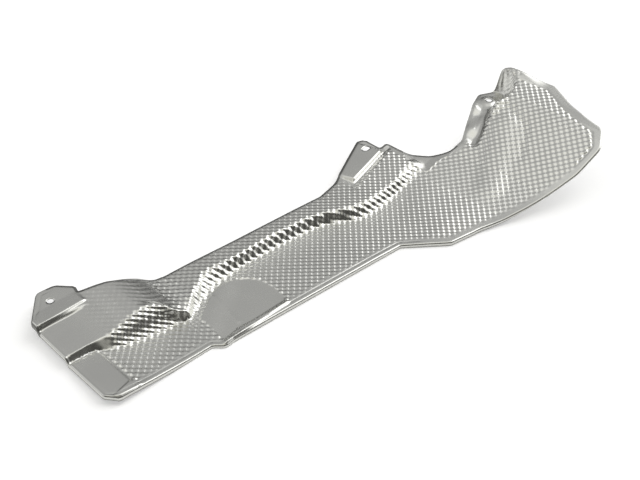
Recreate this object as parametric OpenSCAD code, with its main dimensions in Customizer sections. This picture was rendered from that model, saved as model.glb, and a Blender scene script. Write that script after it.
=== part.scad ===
// Heat shield for a car's exhaust side: one pressing of embossed aluminium sheet.
// A long strip carries a step along its length, three fixing seats and an upturned dish
// at its right end. The whole of it is one sheet, so the model is one solid.
// X runs along the strip, Y across it from the near edge to the far edge, Z is up,
// and the shield lies on its turned-down near edge as it would on a bench.

/* [Sheet] */
// Thickness of the aluminium
sheet_t = 0.9; // [0.8:0.1:1.2]
// Distance between neighbouring bumps of the embossing
emboss_pitch = 10.3; // [10:0.1:14]
// Height of the bumps above the middle of the sheet, and depth of the hollows below it
emboss_h = 0.6; // [0:0.1:0.7]
// Angle between the rows of bumps and the strip
emboss_angle = 41; // [0:1:45]

/* [Outline] */
// Place of the left end
left_x = -351; // [-360:1:-340]
// Place of the strip's near edge
near_y = -77; // [-84:1:-72]
// Place of the strip's far edge
far_y = 54; // [50:1:57]
// Place of the dish's right end
right_x = 403; // [395:1:412]
// Lowest point of the dish's near edge
dish_y = -151; // [-160:1:-142]
// Depth of the edge that is turned down along the ends and the near side
lip_h = 5.5; // [3:0.5:6]
// Width of the smooth band that runs inside the near and right edges
rim_w = 10; // [6:1:14]

/* [Step] */
// Height of the step where it leaves the left end
step_end_h = 5.5; // [4:0.5:7]
// Height of the step in the scooped wall near the left end
step_scoop_h = 19; // [14:1:22]
// Height of the step along the middle of the strip
step_mid_h = 12; // [9:0.5:14]
// Slope of the sheet behind the step, as rise over run
far_slope = -0.1; // [-0.15:0.05:0.1]
// Height by which the sheet rises towards its left end
end_rise = 5.5; // [4.5:0.5:7]

/* [Dish] */
// Height to which the dish rises at its right end
dish_h = 75; // [68:1:80]
// Extra height of the corner flap
flap_h = 7.5; // [0:0.5:10]
// Height of the rounded ridge that runs down the dish from the right seat
ridge_h = 4; // [2:0.5:7]
// Depth of the creased valley beside that ridge
fold_h = 2; // [0:0.5:3]
// Height of the rounded near edge of the arm that carries the right seat
arm_h = 5; // [2:0.5:6]

/* [Seats] */
// Diameter of the fixing hole in the left seat
hole_left_d = 8.2; // [6:0.1:10]
// Height of the left seat
seat_left_z = 17.5; // [17:0.5:19]
// Width of the slotted hole in the middle seat
slot_w = 8; // [6:0.1:9]
// Length of the slotted hole in the middle seat
slot_l = 13; // [10:0.5:15]
// Height of the middle seat
seat_mid_z = 14; // [13:0.5:15]
// Diameter of the fixing hole in the right seat
hole_right_d = 8.2; // [6:0.1:10]
// Height of the right seat
seat_right_z = 50; // [46:1:54]
// Half width of the flat part of the right seat across the strip
seat_right_r = 19; // [17:1:21]

/* [Bead] */
// Width of the stiffening bead beside the middle seat
bead_w = 7; // [6:0.5:8]
// Height of the stiffening bead above the seat
bead_h = 2.6; // [2:0.1:2.6]

/* [Hidden] */

// Places of the fixing holes, and the turn of the slotted one.
hole_left = [-316, 98];
slot_mid = [165, 95];
slot_angle = 15;
hole_right = [339, 35];
// Right end and near edge of the left seat.
seat_left_end = -285;
seat_left_near = 65.5;
// Ends of the bead beside the middle seat, and the left and right ends of the seat itself.
bead_from = [106, 54];
bead_to = [174, 78];
seat_mid_left = 92;
seat_mid_right = 188;
// Middle of the right seat, and how much longer than wide the seat is.
seat_right = [343, 38];
seat_right_long = 1.25;
// Right end of the smooth pad at the near left corner, and its height above the sheet.
pad_end = -310;
pad_h = 1.3;
// Corners of the smooth field in the middle of the strip, and how deep it lies.
label_near = [-185, -65];
label_far = [-108, 6];
label_depth = 0.8;
// Height of the strip's near edge, and how far the strip rises from it to the step.
near_z = 1.9;
camber = 3.6;

// Corners of the outline with the radius of each, first along the edge that is turned
// down, from the left seat round the near side to the corner flap.
lip_corners = [
    [left_x + 29, 121, 12], [left_x, 80, 6], [left_x + 3, near_y + 16, 3], [left_x + 15, near_y + 3, 6],
    [-214, near_y + 9, 6], [-203, near_y - 1, 3], [-190, near_y + 1, 12], [63, near_y, 8],
    [113, near_y - 37, 10], [160, dish_y + 32, 60], [226, dish_y + 15, 100],
    [300, dish_y, 60], [345, dish_y + 1, 22], [371, dish_y + 20, 14], [right_x - 28, -104, 20],
    [right_x - 19, -68, 30], [right_x, -24, 14]];
// The rest of the outline, back along the far side.
plain_corners = [
    [right_x - 15, 42, 10], [right_x - 21, 50, 5], [366, 49, 8], [343, 58, 10], [320, 47, 14],
    [291, 30, 40], [260, 10, 18], [240, 9, 18], [217, 26, 22], [197, 56, 20], [194, 83, 7],
    [184, 89, 8], [180, 114, 7], [168, 117, 9], [84, 64, 50], [50, far_y, 30], [-90, far_y - 1, 60],
    [-190, far_y, 20], [-203, far_y + 3, 10], [-217, far_y + 14, 14], [-246, 74, 30], [-283, 91, 2],
    [-281, 103, 6], [-298, 120, 10]];
corners = concat(lip_corners, plain_corners);

// Foot and crest of the step, as places along X and Y.
foot_line = [
    [left_x, 6], [-318, 7.5], [-306, 0], [-290, -5], [-255, -8], [-219, -10], [-206, -17], [-187, -2],
    [-170, 7], [-159, 11], [-142, 17], [-108, 22], [-59, 24], [-6, 23], [13, 21], [29, 17], [46, 8],
    [60, 1], [77, -2], [92, -1], [110, 1], [128, 5], [146, 9], [167, 13], [185, 16], [240, 15]];
crest_line = [
    [left_x, 12], [-307, 12], [-294, 9], [-265, 11], [-239, 12], [-229, 7], [-221, -1], [-215, -10],
    [-207, -12], [-195, 0], [-180, 10], [-159, 25], [-146, 28], [-103, 28], [-52, 31.5], [2, 30],
    [18, 26.5], [33, 22.5], [50, 15], [64, 10], [83, 7], [105, 9.5], [130, 12.5], [148, 15.5],
    [170, 25], [185, 28], [240, 27]];
step_line = [
    [left_x, step_end_h], [-307, step_end_h + 2.7], [-280, step_scoop_h - 5], [-265, step_scoop_h],
    [-249, step_scoop_h + 3], [-239, step_scoop_h + 3], [-229, step_scoop_h + 1], [-221, step_scoop_h - 3],
    [-215, step_mid_h], [-207, step_mid_h - 3], [-195, step_mid_h], [60, step_mid_h],
    [110, step_mid_h - 1], [150, step_mid_h - 2], [175, step_mid_h - 4], [190, step_mid_h - 7], [205, 0]];
// Softness of the step's two bends, as half a bend's length over the slope's length.
soft_line = [[-300, 0.13], [-285, 0.3], [-205, 0.35], [-185, 0.5]];
// Rise of the dish along X, as shares of its full height.
rise_line = [
    [90, 0], [130, 0.01], [180, 0.09], [240, 0.29], [300, 0.62], [350, 0.91], [400, 0.98]];
// Height of the arm that carries the right seat, along X, and the arm's rounded near edge.
arm_line = [[242, 26], [324, 47]];
arm_edge = [[285, 12], [330, 16]];
arm_edge_w = 17;
// Ends and half width of the dish's ridge, and the line and half width of its valley.
ridge_ends = [[305, -20], [222, -76]];
ridge_w = 26;
fold_line = [[331, -6], [321, -47], [281, -74]];
fold_w = 9;

// A smooth change from 0 at a to 1 at b.
function ramp(a, b, x) = let (t = min(max((x - a) / (b - a), 0), 1)) t * t * (3 - 2 * t);
function mix(a, b, w) = a + (b - a) * w;
// A value along a line of points, with its corners eased over the distance e.
function along(x, points, e) =
    (lookup(x - e, points) + 2 * lookup(x, points) + lookup(x + e, points)) / 4;
// A straight slope from 0 to 1, with a bend at each end that reaches soft before and after it.
function slope_area(t) = t > 1 ? t - 0.5 : max(t, 0) * max(t, 0) / 2;
function bend(t, soft) = (slope_area(t + soft) - slope_area(t - soft)) / (2 * soft);
// Distance from p to the segment from a to b.
function seg_dist(p, a, b) =
    let (v = b - a, t = min(max((p - a) * v / (v * v), 0), 1)) norm(p - a - t * v);

// The points of one rounded corner.
function corner_points(i) =
    let (n = len(corners), p = corners[i], a = corners[(i + n - 1) % n], b = corners[(i + 1) % n],
         here = [p.x, p.y], va = [a.x, a.y] - here, vb = [b.x, b.y] - here,
         ua = va / norm(va), ub = vb / norm(vb), angle = acos(ua * ub),
         t = min(p.z / tan(angle / 2), 0.48 * norm(va), 0.48 * norm(vb)),
         steps = angle < 150 ? 4 : 2)
    [for (k = [0:steps]) let (w = k / steps)
        (1 - w) * (1 - w) * (here + t * ua) + 2 * w * (1 - w) * here + w * w * (here + t * ub)];
// A run of points with no gap longer than the given one.
function filled(points, gap) =
    [for (i = [0:len(points) - 2])
        let (a = points[i], b = points[i + 1], n = max(1, ceil(norm(b - a) / gap)))
        for (k = [0:n - 1]) a + (b - a) * k / n];

outline = [for (i = [0:len(corners) - 1]) each corner_points(i)];
middle = [(min([for (p = outline) p.x]) + max([for (p = outline) p.x])) / 2,
          (min([for (p = outline) p.y]) + max([for (p = outline) p.y])) / 2];

// Distance from a point of the sheet to its nearest edge.
function edge_dist(p) =
    min([for (i = [0:len(outline) - 1]) seg_dist(p, outline[i], outline[(i + 1) % len(outline)])]);

// Seats and smooth fields, each as a share from 0 outside to 1 inside.
function in_left_seat(p) =
    (1 - bend((p.x - seat_left_end) / 3, 0.4)) * bend((p.y - seat_left_near) / 3.4, 0.4);
function in_pad(p, foot) =
    (1 - ramp(pad_end - 3, pad_end + 2, p.x)) * ramp(near_y + 12, near_y + 17, p.y)
    * (1 - ramp(foot - 5, foot - 1, p.y));
function in_label(p) =
    ramp(label_near.x - 5, label_near.x + 5, p.x + 0.3 * abs(p.y + 20))
    * (1 - ramp(label_far.x - 4, label_far.x + 4, p.x - 0.2 * p.y))
    * ramp(label_near.y - 3, label_near.y + 3, p.y)
    * (1 - ramp(label_far.y - 6, label_far.y + 6, p.y - 0.1 * (p.x + 150)));
function above_mid_bead(p) =
    let (run = bead_to - bead_from) (p - bead_from) * [-run.y, run.x] / norm(run);
function in_mid_seat(p) =
    ramp(-13, -3, above_mid_bead(p)) * ramp(seat_mid_left - 8, seat_mid_left + 8, p.x)
    * (1 - ramp(seat_mid_right - 4, seat_mid_right + 4, p.x));
function in_right_seat(p) =
    let (d = norm([(p.x - seat_right.x) / seat_right_long, p.y - seat_right.y]))
    1 - ramp(seat_right_r, seat_right_r + 12, d);
// Distance to the far side of the line along which the arm meets the dish.
function above_arm(p) = p.y - 0.45 * (p.x - arm_edge[0].x);
function in_arm(p) = ramp(244, 262, p.x) * (1 - ramp(316, 332, p.x)) * ramp(-8, 6, above_arm(p));
function on_arm_wall(p) = ramp(262, 275, p.x) * (1 - ramp(318, 330, p.x)) * ramp(-3, 6, above_arm(p));

// Height of the dish, with its ridge, its valley and its corner flap.
function dish_z(p) =
    let (rise = dish_h * along(p.x + 0.12 * p.y, rise_line, 15),
         ridge = ridge_h * (1 - ramp(4, ridge_w, seg_dist(p, ridge_ends[0], ridge_ends[1]))),
         flap = flap_h * ramp(365, 392, p.x) * ramp(-20, 40, p.y),
         near_fold = min([for (i = [0, 1]) seg_dist(p, fold_line[i], fold_line[i + 1])]))
    rise + ridge + flap - fold_h * (1 - ramp(0, fold_w, near_fold));

// Height of the top of the sheet before embossing.
function form_z(p) =
    let (foot = along(p.x, foot_line, 4), crest = max(along(p.x, crest_line, 4), foot + 5),
         near = near_z + end_rise * (1 - ramp(left_x, -225, p.x))
                + camber * min(max((foot - p.y) / 90, 0), 1) * (1 - ramp(120, 200, p.x)),
         step = along(p.x, step_line, 6) * bend((p.y - foot) / (crest - foot), along(p.x, soft_line, 5)),
         back = far_slope * max(0, p.y - crest) * ramp(-235, -190, p.x) * (1 - ramp(40, 120, p.x)),
         whole = near + step + back + dish_z(p),
         arm = mix(whole, along(p.x, arm_line, 1), in_arm(p))
               + arm_h * (1 - ramp(0, arm_edge_w, seg_dist(p, arm_edge[0], arm_edge[1]))),
         labelled = arm + pad_h * in_pad(p, foot) - label_depth * in_label(p),
         left = mix(labelled, seat_left_z, in_left_seat(p)),
         mid = mix(left, seat_mid_z, in_mid_seat(p)))
    mix(mid, seat_right_z, in_right_seat(p));

// Share of the embossing at a point: none on the seats, the smooth fields and the rim.
function emboss_share(p) =
    let (foot = along(p.x, foot_line, 4),
         rim = p.y < -30 || p.x > 330 ? rim_w : p.x > 180 && p.x < 262 ? rim_w : 3,
         smooth = max(in_left_seat(p), in_pad(p, foot), in_label(p), in_mid_seat(p), in_right_seat(p),
                      on_arm_wall(p), (1 - ramp(-300, -255, p.x)) * ramp(foot - 4, foot + 2, p.y)))
    (1 - smooth) * ramp(rim - 1, rim + 4, edge_dist(p));

// The sheet is a net of square cells whose corners go up and down by turns, which gives
// rows of bumps at 45 degrees to the net.
cell = emboss_pitch / sqrt(2);
net_angle = 45 - emboss_angle;
function turned(p, a) = [p.x * cos(a) - p.y * sin(a), p.x * sin(a) + p.y * cos(a)];
net_outline = [for (p = filled(concat(outline, [outline[0]]), cell / 2)) turned(p, -net_angle) / cell];
col_lo = floor(min([for (p = net_outline) p.x])) - 1;
col_hi = ceil(max([for (p = net_outline) p.x]));
row_lo = floor(min([for (p = net_outline) p.y])) - 1;
row_hi = ceil(max([for (p = net_outline) p.y])) + 1;
cols = col_hi - col_lo;
rows = row_hi - row_lo;
// For each column of cells, the first row that it needs and the one after its last.
span = [for (i = [0:cols - 1])
    let (near = [for (p = net_outline) if (abs(p.x - (col_lo + i + 0.5)) < 1.1) p.y])
    len(near) == 0 ? [0, 0] : [floor(min(near)) - row_lo, ceil(max(near)) - row_lo]];
function kept(i, j) = i >= 0 && i < cols && j >= span[i][0] && j < span[i][1];

net_z = [for (i = [0:cols]) [for (j = [0:rows])
    kept(i, j) || kept(i - 1, j) || kept(i, j - 1) || kept(i - 1, j - 1) ?
        let (p = turned([(col_lo + i) * cell, (row_lo + j) * cell], net_angle))
        form_z(p) + ((i + j) % 2 == 0 ? 1 : -1) * emboss_h * emboss_share(p)
    : 0]];
// Height of the net's top at any point of the outline.
function net_top(p) =
    let (q = turned(p, -net_angle) / cell, i = floor(q.x) - col_lo, j = floor(q.y) - row_lo,
         u = q.x - floor(q.x), v = q.y - floor(q.y),
         a = net_z[i][j], b = net_z[i + 1][j], c = net_z[i + 1][j + 1], d = net_z[i][j + 1])
    u > v ? a + (b - a) * u + (c - b) * v : a + (d - a) * v + (c - d) * u;

module net_sheet() {
    points = [for (k = [0, 1]) for (i = [0:cols]) for (j = [0:rows])
        let (p = turned([(col_lo + i) * cell, (row_lo + j) * cell], net_angle))
        [p.x, p.y, net_z[i][j] - k * sheet_t]];
    function at(k, i, j) = k * (cols + 1) * (rows + 1) + i * (rows + 1) + j;
    function wall(a, b) = [
        [at(0, a[0], a[1]), at(0, b[0], b[1]), at(1, b[0], b[1])],
        [at(0, a[0], a[1]), at(1, b[0], b[1]), at(1, a[0], a[1])]];
    faces = [for (i = [0:cols - 1]) for (j = [span[i][0]:1:span[i][1] - 1]) each concat(
        [[at(0, i, j), at(0, i + 1, j + 1), at(0, i + 1, j)],
         [at(0, i, j), at(0, i, j + 1), at(0, i + 1, j + 1)],
         [at(1, i, j), at(1, i + 1, j), at(1, i + 1, j + 1)],
         [at(1, i, j), at(1, i + 1, j + 1), at(1, i, j + 1)]],
        kept(i, j - 1) ? [] : wall([i, j], [i + 1, j]),
        kept(i, j + 1) ? [] : wall([i + 1, j + 1], [i, j + 1]),
        kept(i - 1, j) ? [] : wall([i, j + 1], [i, j]),
        kept(i + 1, j) ? [] : wall([i + 1, j], [i + 1, j + 1]))];
    polyhedron(points = points, faces = faces, convexity = 12);
}

// The turned-down edge, swept along the outline a little proud of the sheet's cut edge.
module lip() {
    proud = 0.15;
    // The left end crosses the step, so its points lie closer together than the near side's.
    left_end = [for (i = [0:3]) each corner_points(i)];
    near_side = [for (i = [4:len(lip_corners) - 1]) each corner_points(i)];
    path = concat(filled(left_end, 2.6), filled(concat([left_end[len(left_end) - 1]], near_side), 24));
    last = len(path) - 1;
    function out_dir(i) = let (d = path[min(i + 1, last)] - path[max(i - 1, 0)]) [d.y, -d.x] / norm(d);
    rings = [for (i = [0:last])
        let (p = path[i], o = out_dir(i), top = net_top(p) - 0.12, low = max(0, top - lip_h),
             a = p + o * proud, b = p - o * (sheet_t - proud))
        [[a.x, a.y, low], [a.x, a.y, top], [b.x, b.y, top], [b.x, b.y, low]]];
    side_faces = [for (i = [0:last - 1]) for (k = [0:3]) let (m = (k + 1) % 4)
        each [[4 * i + k, 4 * i + m, 4 * i + 4 + m], [4 * i + k, 4 * i + 4 + m, 4 * i + 4 + k]]];
    end_faces = [[3, 2, 1], [3, 1, 0],
                 [4 * last, 4 * last + 1, 4 * last + 2], [4 * last, 4 * last + 2, 4 * last + 3]];
    polyhedron(points = [for (r = rings) each r], faces = concat(side_faces, end_faces), convexity = 12);
}

// The bead is part of a round bar that lies mostly below the sheet.
bead_r = (bead_w * bead_w / 4 + bead_h * bead_h) / (2 * bead_h);

// That bar, with round ends; cut is how much smaller than the bead it is.
module bead_bar(cut) {
    r = bead_r - cut;
    run = bead_to - bead_from;
    translate([bead_from.x, bead_from.y, seat_mid_z + bead_h - bead_r]) rotate([0, 0, atan2(run.y, run.x)]) {
        sphere(r = r, $fn = 48);
        rotate([0, 90, 0]) cylinder(h = norm(run), r = r, $fn = 48);
        translate([norm(run), 0, 0]) sphere(r = r, $fn = 48);
    }
}

module bead_cap() {
    intersection() {
        bead_bar(0);
        translate([bead_from.x - bead_w, bead_from.y - bead_w, seat_mid_z - sheet_t + 0.1])
            cube([bead_to.x - bead_from.x + 2 * bead_w, bead_to.y - bead_from.y + 2 * bead_w, 20]);
    }
}

module slot(width, length, depth) {
    reach = (length - width) / 2;
    for (s = [-1, 1]) translate([s * reach, 0, 0]) cylinder(h = depth, d = width, $fn = 48);
    translate([-reach, -width / 2, 0]) cube([2 * reach, width, depth]);
}

// Depth to which each hole is cut above and below its seat.
hole_reach = 10;

module shield_panel() {
    color("lightgray") translate([-middle.x, -middle.y, 0]) difference() {
        union() {
            intersection() {
                net_sheet();
                translate([0, 0, -5]) linear_extrude(height = 140) polygon(outline);
            }
            lip();
            bead_cap();
        }
        bead_bar(sheet_t);
        translate([hole_left.x, hole_left.y, seat_left_z - hole_reach])
            cylinder(h = 2 * hole_reach, d = hole_left_d, $fn = 48);
        translate([slot_mid.x, slot_mid.y, seat_mid_z - hole_reach]) rotate([0, 0, slot_angle])
            slot(slot_w, slot_l, 2 * hole_reach);
        translate([hole_right.x, hole_right.y, seat_right_z - hole_reach])
            cylinder(h = 2 * hole_reach, d = hole_right_d, $fn = 48);
    }
}

shield_panel();
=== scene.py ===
"""Car heat shield: one pressing of embossed aluminium sheet, dressed around its CAD frame.

The sheet's form comes from named lines and seats, and its rows of bumps from a Geometry Nodes
tree. The underside is the top moved in by the sheet's thickness, and cut edges close the mesh.
Sizes are millimetres in the sheet's own drawing frame, which is moved to the row frame and
scaled to metres at the end.
"""
from __future__ import annotations

import logging
import math
from dataclasses import dataclass, field
from enum import Enum
from typing import Sequence

import bpy
import numpy as np
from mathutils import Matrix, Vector

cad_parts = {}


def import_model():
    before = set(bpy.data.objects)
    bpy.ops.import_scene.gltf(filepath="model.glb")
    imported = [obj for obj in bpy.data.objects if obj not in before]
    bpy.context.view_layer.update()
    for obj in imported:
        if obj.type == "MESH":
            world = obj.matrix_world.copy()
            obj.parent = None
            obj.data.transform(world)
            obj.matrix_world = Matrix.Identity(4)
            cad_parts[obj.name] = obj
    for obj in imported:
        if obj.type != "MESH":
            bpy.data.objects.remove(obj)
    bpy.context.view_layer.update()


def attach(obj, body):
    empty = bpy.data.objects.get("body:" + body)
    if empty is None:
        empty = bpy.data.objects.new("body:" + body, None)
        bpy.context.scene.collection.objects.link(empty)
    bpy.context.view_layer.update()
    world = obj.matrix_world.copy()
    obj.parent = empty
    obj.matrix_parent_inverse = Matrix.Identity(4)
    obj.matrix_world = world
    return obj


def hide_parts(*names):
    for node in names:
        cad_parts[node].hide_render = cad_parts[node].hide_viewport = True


LOG = logging.getLogger("heat_shield")
MM = 0.001
TINY = 1e-6  # lengths below this, in millimetres, count as none
NODE = "shield_panel"
Array = np.ndarray
Place = tuple[float, float]
Line = Sequence[Place]
Span = tuple[float, ...]
Triple = tuple[float, float, float]
Socket = bpy.types.NodeSocket


def ramp(low: float | Array, high: float | Array, x: Array) -> Array:
    """Smooth change from 0 at low to 1 at high.

    Args:
        low: where the change starts.
        high: where it ends.
        x: the places to read it at.

    Returns:
        Shares between 0 and 1.
    """
    t = np.clip((x - low) / (high - low), 0.0, 1.0)
    return t * t * (3.0 - 2.0 * t)


def plateau(x: Array, low: float, full: float, last: float, end: float) -> Array:
    """Share that rises from 0 at low to 1 at full, and falls from 1 at last to 0 at end."""
    return ramp(low, full, x) * (1 - ramp(last, end, x))


def along(x: Array, line: Line, ease: float) -> Array:
    """Value along a line of points, with its corners eased.

    Args:
        x: places along the line.
        line: the line's points as (place, value).
        ease: distance over which a corner is rounded.

    Returns:
        The eased values.
    """
    places, values = zip(*line)
    return (np.interp(x - ease, places, values) + 2.0 * np.interp(x, places, values)
            + np.interp(x + ease, places, values)) / 4.0


def bend(x: Array, soft: float | Array) -> Array:
    """Straight slope from 0 to 1 between two bends.

    Args:
        x: places, where the slope runs from 0 to 1.
        soft: half the length of each bend, as a share of the slope.

    Returns:
        Shares between 0 and 1.
    """
    def area(t: Array) -> Array:
        """Area below the slope up to t."""
        return np.where(t > 1.0, t - 0.5, np.clip(t, 0.0, 1.0) ** 2 / 2.0)
    return (area(x + soft) - area(x - soft)) / (2.0 * soft)


def on_segment(x: Array, y: Array, start: Place, end: Place) -> tuple[Array, Array, Array]:
    """Nearest points of a segment.

    Args:
        x: the places' X.
        y: the places' Y.
        start: the segment's first end.
        end: the segment's other end.

    Returns:
        The nearest points' share of the way along the segment, their X and their Y.
    """
    vx, vy = end[0] - start[0], end[1] - start[1]
    t = np.clip(((x - start[0]) * vx + (y - start[1]) * vy) / (vx * vx + vy * vy), 0.0, 1.0)
    return t, start[0] + t * vx, start[1] + t * vy


def segment_distance(x: Array, y: Array, start: Place, end: Place) -> Array:
    """Distance from places to a segment."""
    _, near_x, near_y = on_segment(x, y, start, end)
    return np.hypot(x - near_x, y - near_y)


def nearest_on(points: Array, x: Array, y: Array) -> tuple[Array, Array, Array, Array]:
    """Nearest point of a closed line.

    Args:
        points: the line's points.
        x: the places' X.
        y: the places' Y.

    Returns:
        Distance, positive inside; the nearest point's X and Y; and its place along the line,
        as a point's number with a fraction.
    """
    best = np.full(x.shape, np.inf)
    qx, qy, place = np.zeros_like(x), np.zeros_like(x), np.zeros_like(x)
    inside = np.zeros(x.shape, bool)
    for i, (ax, ay) in enumerate(points):
        bx, by = points[(i + 1) % len(points)]
        if math.hypot(bx - ax, by - ay) < TINY:
            continue
        t, cx, cy = on_segment(x, y, (ax, ay), (bx, by))
        d = np.hypot(x - cx, y - cy)
        closer = d < best
        best = np.where(closer, d, best)
        qx, qy, place = np.where(closer, cx, qx), np.where(closer, cy, qy), np.where(closer, i + t, place)
        if ay != by:
            inside ^= ((ay > y) != (by > y)) & (x < (bx - ax) * (y - ay) / (by - ay) + ax)
    return np.where(inside, best, -best), qx, qy, place


class Material(Enum):
    """Material slots of the sheet, in the mesh's order."""

    FACE = 0
    BACK = 1
    # Cut edges and hole walls. The slot's dark finish is partly painted shade, and it also paints a dark line
    # on some top faces.
    CUT = 2


@dataclass(frozen=True)
class Outline:
    """Closed outline of the sheet, with rounded corners.

    The corners are (x, y, radius), first along the turned-down edge from the left seat round
    the near side to the corner flap, then back along the far side.
    """

    left_x: float = -351.0
    near_y: float = -77.0
    far_y: float = 57.5
    right_x: float = 403.0
    dish_y: float = -151.0
    steps: int = 6

    def lip_corners(self) -> list[Triple]:
        """Corners along the edge that is turned down."""
        lx, ny, dy, rx = self.left_x, self.near_y, self.dish_y, self.right_x
        return [(lx + 29, 121, 12), (lx, 80, 6), (lx + 3, ny + 16, 3), (lx + 15, ny + 3, 6),
                (-214, ny + 9, 6), (-203, ny - 1, 3), (-190, ny + 1, 12), (63, ny, 8),
                (113, ny - 37, 10), (160, dy + 32, 60), (226, dy + 15, 100),
                (300, dy, 60), (345, dy + 1, 22), (371, dy + 20, 14), (rx - 28, -104, 20),
                (rx - 19, -68, 30), (rx, -24, 14)]

    def plain_corners(self) -> list[Triple]:
        """Corners along the far side, which has no lip."""
        rx, fy = self.right_x, self.far_y
        return [(rx - 15, 42, 10), (rx - 21, 50, 5), (366, 49, 8), (343, 58, 10), (320, 47, 14),
                (291, 30, 40), (260, 10, 18), (240, 9, 18), (217, 26, 22), (197, 56, 20), (194, 83, 7),
                (184, 89, 8), (180, 114, 7), (168, 117, 9), (84, 67, 50), (50, fy, 30), (-90, fy - 1, 60),
                (-190, fy, 20), (-203, fy + 3, 10), (-217, fy + 13, 14), (-246, 77, 30), (-283, 93, 2),
                (-281, 103, 6), (-298, 120, 10)]

    def points(self) -> tuple[Array, Array]:
        """The rounded outline.

        Returns:
            The points, and for each whether it lies on the turned-down edge.
        """
        lipped = self.lip_corners()
        corners = lipped + self.plain_corners()
        made: list[Array] = []
        on_lip: list[bool] = []
        for i, (px, py, radius) in enumerate(corners):
            here = np.array([px, py], float)
            back = np.array(corners[i - 1][:2], float) - here
            ahead = np.array(corners[(i + 1) % len(corners)][:2], float) - here
            room_back, room_ahead = np.linalg.norm(back), np.linalg.norm(ahead)
            back, ahead = back / room_back, ahead / room_ahead
            angle = math.acos(float(np.clip(back @ ahead, -1, 1)))
            reach = min(radius / math.tan(angle / 2), 0.48 * room_back, 0.48 * room_ahead)
            for k in range(self.steps + 1):
                w = k / self.steps
                made.append((1 - w) ** 2 * (here + reach * back) + 2 * w * (1 - w) * here
                            + w * w * (here + reach * ahead))
                on_lip.append(i < len(lipped))
        return np.array(made), np.array(on_lip)


@dataclass
class EdgeField:
    """Distances to the outline and to the holes, and the nearest point of either."""

    points: Array
    on_lip: Array
    holes: list["Hole"]

    def nearest(self, x: Array, y: Array) -> tuple[Array, Array, Array, Array]:
        """Nearest point of the outline.

        Args:
            x: the points' X.
            y: the points' Y.

        Returns:
            Distance, positive inside; the nearest point's X and Y; and the lip share there.
        """
        d, qx, qy, place = nearest_on(self.points, x, y)
        shares = np.append(self.on_lip, self.on_lip[0]).astype(float)
        return d, qx, qy, np.interp(place, np.arange(len(shares)), shares)

    def room(self, x: Array, y: Array, inset: float) -> Array:
        """How far inside the sheet's metal a point is.

        Args:
            x: the points' X.
            y: the points' Y.
            inset: how far the outline is drawn in.

        Returns:
            Distances, positive in the metal.
        """
        d = self.nearest(x, y)[0] - inset
        for hole in self.holes:
            d = np.minimum(d, hole.distance(x, y))
        return d


@dataclass(frozen=True)
class Hole:
    """A round or slotted hole through a seat."""

    name: str
    x: float
    y: float
    width: float
    length: float
    angle: float = 0.0
    least_reach: float = 1e-3

    def _ends(self) -> tuple[Place, Place]:
        """The centres of the hole's two round ends."""
        reach = max((self.length - self.width) / 2.0, self.least_reach)
        dx, dy = reach * math.cos(math.radians(self.angle)), reach * math.sin(math.radians(self.angle))
        return (self.x - dx, self.y - dy), (self.x + dx, self.y + dy)

    def distance(self, x: Array, y: Array) -> Array:
        """Distance to the hole's wall, positive in the metal."""
        return segment_distance(x, y, *self._ends()) - self.width / 2.0

    def on_wall(self, x: Array, y: Array) -> tuple[Array, Array]:
        """The points moved onto the hole's wall."""
        _, cx, cy = on_segment(x, y, *self._ends())
        scale = self.width / 2.0 / np.maximum(np.hypot(x - cx, y - cy), TINY)
        return cx + (x - cx) * scale, cy + (y - cy) * scale


@dataclass(frozen=True)
class Bead:
    """A pressed stiffening bead: a steep wall on its near side, a slow fall on its other sides.

    The line from start to end is the middle of its width. The wall and the falls are lengths in plan.
    """

    start: Place
    end: Place
    width: float
    height: float
    wall: float
    fall: float
    end_fall: float = 6.0

    def _run(self) -> Triple:
        """The bead's way along X and along Y, and its length."""
        vx, vy = self.end[0] - self.start[0], self.end[1] - self.start[1]
        return vx, vy, math.hypot(vx, vy)

    def above(self, x: Array, y: Array) -> Array:
        """Distance to the far side of the bead's line."""
        vx, vy, run = self._run()
        return ((y - self.start[1]) * vx - (x - self.start[0]) * vy) / run

    def rise(self, x: Array, y: Array) -> Array:
        """Height that the bead adds."""
        vx, vy, run = self._run()
        t = ((x - self.start[0]) * vx + (y - self.start[1]) * vy) / run
        across = self.above(x, y) + self.width / 2.0
        past = np.maximum(0.0, np.maximum(-t, t - run))
        away = np.hypot(np.maximum(0.0, across - self.wall), past * self.fall / self.end_fall)
        return self.height * ramp(0.0, self.wall, across) * np.clip(1 - away / self.fall, 0.0, 1.0)


@dataclass(frozen=True)
class Crease:
    """A narrow fold along a line of points: raised where its height is above 0, else sunk."""

    line: Line
    width: float
    height: float

    def rise(self, x: Array, y: Array) -> Array:
        """Height that the crease adds."""
        d = np.minimum.reduce([segment_distance(x, y, a, b) for a, b in zip(self.line, self.line[1:])])
        return self.height * np.exp(-(2.0 * d / self.width) ** 2)


@dataclass(frozen=True)
class Groove:
    """A groove that runs along the sheet's edge, with its middle at an inset from it."""

    inset: float
    width: float
    depth: float

    def sink(self, off: Array) -> Array:
        """Depth of the groove at a distance from its middle."""
        return self.depth * np.exp(-(off / self.width) ** 2)


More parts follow.
